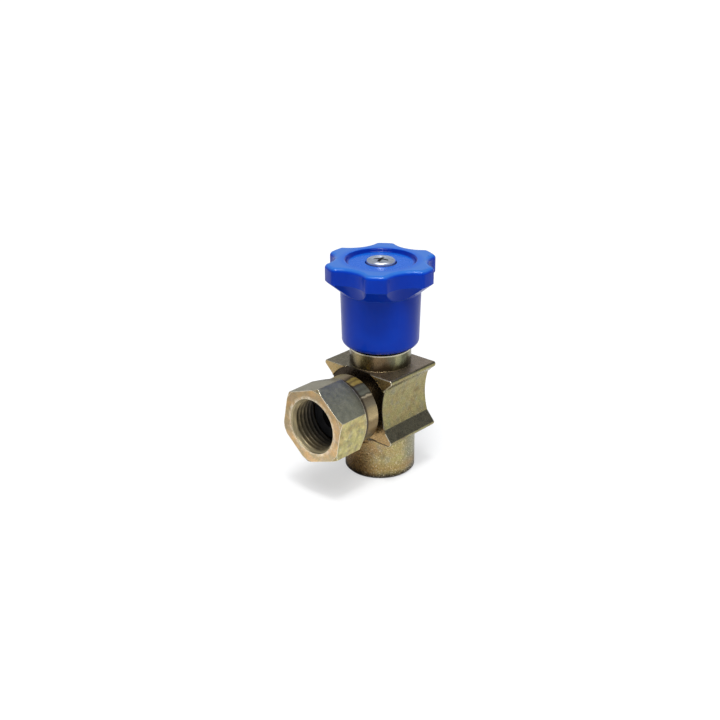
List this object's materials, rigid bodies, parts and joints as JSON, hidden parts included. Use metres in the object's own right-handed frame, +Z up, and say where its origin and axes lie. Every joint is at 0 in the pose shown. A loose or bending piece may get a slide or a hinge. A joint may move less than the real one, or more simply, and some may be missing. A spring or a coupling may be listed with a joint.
{
  "type": "gauge shutoff valve",
  "caption": "Angle needle valve with a star knob on a rising stem, a female threaded port below and a swivel nut for a pressure gauge.",
  "frame": {"origin": "centre of the bottom port's face, on the stem axis", "axes": "+Z up the stem towards the knob, -Y out of the swivel nut towards the gauge"},
  "size_m": [0.0426, 0.0584, 0.084],
  "materials": {
    "forged_zinc_steel": "forged steel, yellow passivated zinc, satin",
    "turned_zinc_steel": "turned steel, yellow passivated zinc, semi-gloss",
    "bright_steel": "bright",
    "blue_plastic": "glossy moulded",
    "black_rubber": "matte",
    "white_ptfe": "matte",
    "brass": "machined"
  },
  "bodies": {
    "valve": {"valve_body": "forged_zinc_steel", "valve_seat": "bright_steel", "swivel_spigot": "turned_zinc_steel", "spigot_seal": "black_rubber", "gauge_gasket": "black_rubber", "bonnet": "turned_zinc_steel", "bonnet_seal": "black_rubber", "upper_backup_ring": "white_ptfe", "stem_o_ring": "black_rubber", "lower_backup_ring": "white_ptfe", "seal_retainer": "bright_steel", "stem_wiper": "black_rubber"},
    "ball": {"sealing_ball": "bright_steel"},
    "stem_and_knob": {"stem": "bright_steel", "knob": "blue_plastic", "knob_insert": "brass", "screw_washer": "bright_steel", "knob_screw": "bright_steel"},
    "nut": {"swivel_nut": "turned_zinc_steel", "nut_retaining_wire": "bright_steel"}
  },
  "joints": [
    {"name": "stem_lift", "type": "slide", "parent": "valve", "child": "ball", "axis": [0, 0, 1], "range_m": [0, 0.00401]},
    {"name": "knob_turn", "type": "hinge", "parent": "ball", "child": "stem_and_knob", "pos_m": [0, 0, 0.07], "axis": [0, 0, 1], "range_deg": [0, 1440]},
    {"name": "nut_swivel", "type": "hinge", "parent": "valve", "child": "nut", "pos_m": [0, -0.027, 0.0296], "axis": [0, -1, 0], "continuous": true}
  ],
  "couplings": [
    {"joint": "stem_lift", "follows": "knob_turn", "m_per_rad": 0.00015915}
  ]
}
